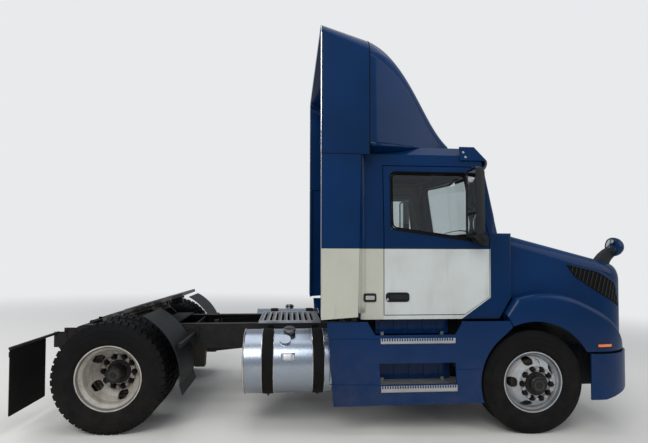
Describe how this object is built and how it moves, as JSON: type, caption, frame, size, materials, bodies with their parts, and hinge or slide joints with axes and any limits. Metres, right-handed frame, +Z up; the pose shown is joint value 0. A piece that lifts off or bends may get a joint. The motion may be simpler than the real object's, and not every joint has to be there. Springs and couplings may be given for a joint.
{
  "type": "semi truck tractor unit",
  "caption": "Two-axle day-cab road tractor with a tilting hood, roof fairing, hinged doors, steered front wheels, twin rear wheels and a tilting trailer coupling plate.",
  "frame": {"origin": "on the ground, at the middle of the whole length and width", "axes": "+X forward, +Y to the truck's left, +Z up"},
  "size_m": [6.0448, 2.88, 3.9087],
  "materials": {
    "body_paint": "gloss",
    "door_paint": "gloss",
    "frame_paint": "satin",
    "cast_steel": "matt",
    "worn_steel": "worn",
    "aluminium": "satin",
    "rim_paint": "satin",
    "tyre_rubber": "matt",
    "flap_rubber": "matt",
    "black_plastic": "matt",
    "trim_plastic": "matt",
    "seat_fabric": "woven",
    "glass": "clear",
    "lamp_lens": "clear"
  },
  "bodies": {
    "chassis": {"frame_rails": "frame_paint", "front_leaf_springs": "cast_steel", "rear_suspension": "cast_steel", "drive_shaft": "cast_steel", "engine_block": "cast_steel", "gearbox": "cast_steel", "radiator": "frame_paint", "deck_plate": "aluminium", "fuel_tanks": "aluminium", "tank_straps": "worn_steel", "fifth_wheel_base": "frame_paint", "rear_fenders": "black_plastic", "flap_hangers": "frame_paint", "mud_flaps": "flap_rubber", "tail_lamps": "lamp_lens", "cab_shell": "body_paint", "cab_glass": "glass", "dashboard": "trim_plastic", "seats": "seat_fabric", "fairing_nose": "body_paint", "fairing_sides": "body_paint", "side_extenders": "body_paint", "sun_visor": "body_paint", "front_bumper": "body_paint", "side_skirts": "body_paint", "step_treads": "aluminium", "front_axle_beam": "cast_steel", "rear_axle_housing": "cast_steel"},
    "hood": {"hood": "body_paint", "grille": "black_plastic", "hood_vents": "black_plastic", "headlamps": "lamp_lens", "hood_mirrors": "body_paint", "wheel_liners": "black_plastic"},
    "door_left": {"door_left": "door_paint", "door_glass_left": "glass", "mirror_left": "black_plastic"},
    "door_right": {"door_right": "door_paint", "door_glass_right": "glass", "mirror_right": "black_plastic"},
    "steering_wheel": {"steering_wheel": "black_plastic"},
    "knuckle_left": {"knuckle_left": "cast_steel"},
    "knuckle_right": {"knuckle_right": "cast_steel"},
    "tie_rod": {"tie_rod": "cast_steel"},
    "wheel_front_left": {"front_tyre_left": "tyre_rubber", "front_rim_left": "rim_paint"},
    "wheel_front_right": {"front_tyre_right": "tyre_rubber", "front_rim_right": "rim_paint"},
    "wheels_rear_left": {"rear_tyres_left": "tyre_rubber", "rear_rims_left": "rim_paint"},
    "wheels_rear_right": {"rear_tyres_right": "tyre_rubber", "rear_rims_right": "rim_paint"},
    "fifth_wheel": {"fifth_wheel_plate": "worn_steel"}
  },
  "joints": [
    {"name": "hood_tilt", "type": "hinge", "parent": "chassis", "child": "hood", "pos_m": [2.96896, 0, 0.75446], "axis": [0, 1, 0], "range_deg": [0, 62]},
    {"name": "door_left_swing", "type": "hinge", "parent": "chassis", "child": "door_left", "pos_m": [1.37909, 1.13, 1.70835], "axis": [0.0305, 0, -0.9995], "range_deg": [0, 68]},
    {"name": "door_right_swing", "type": "hinge", "parent": "chassis", "child": "door_right", "pos_m": [1.37909, -1.13, 1.70835], "axis": [-0.0305, 0, 0.9995], "range_deg": [0, 68]},
    {"name": "steer_left", "type": "hinge", "parent": "chassis", "child": "knuckle_left", "pos_m": [1.84259, 0.868, 0.435], "axis": [0, 0, 1], "range_deg": [-38, 38]},
    {"name": "steer_right", "type": "hinge", "parent": "chassis", "child": "knuckle_right", "pos_m": [1.84259, -0.868, 0.435], "axis": [0, 0, 1], "range_deg": [-38, 38]},
    {"name": "tie_rod_pivot", "type": "hinge", "parent": "knuckle_left", "child": "tie_rod", "pos_m": [1.6526, 0.828, 0.284], "axis": [0, 0, 1], "range_deg": [-38, 38]},
    {"name": "steering_wheel_turn", "type": "hinge", "parent": "chassis", "child": "steering_wheel", "pos_m": [1.07968, 0.51, 1.81526], "axis": [-0.6766, 0, 0.7364], "range_deg": [-608, 608]},
    {"name": "wheel_front_left_spin", "type": "hinge", "parent": "knuckle_left", "child": "wheel_front_left", "pos_m": [1.84259, 1.03, 0.502], "axis": [0, 1, 0], "continuous": true},
    {"name": "wheel_front_right_spin", "type": "hinge", "parent": "knuckle_right", "child": "wheel_front_right", "pos_m": [1.84259, -1.03, 0.502], "axis": [0, 1, 0], "continuous": true},
    {"name": "wheels_rear_left_spin", "type": "hinge", "parent": "chassis", "child": "wheels_rear_left", "pos_m": [-2.1574, 0.925, 0.502], "axis": [0, 1, 0], "continuous": true},
    {"name": "wheels_rear_right_spin", "type": "hinge", "parent": "chassis", "child": "wheels_rear_right", "pos_m": [-2.1574, -0.925, 0.502], "axis": [0, 1, 0], "continuous": true},
    {"name": "fifth_wheel_tilt", "type": "hinge", "parent": "chassis", "child": "fifth_wheel", "pos_m": [-2.09902, 0, 1.00381], "axis": [0, 1, 0], "range_deg": [0, 27]}
  ],
  "couplings": [
    {"joint": "steer_right", "follows": "steer_left", "ratio": 1},
    {"joint": "tie_rod_pivot", "follows": "steer_left", "ratio": -1},
    {"joint": "steering_wheel_turn", "follows": "steer_left", "ratio": 16}
  ]
}
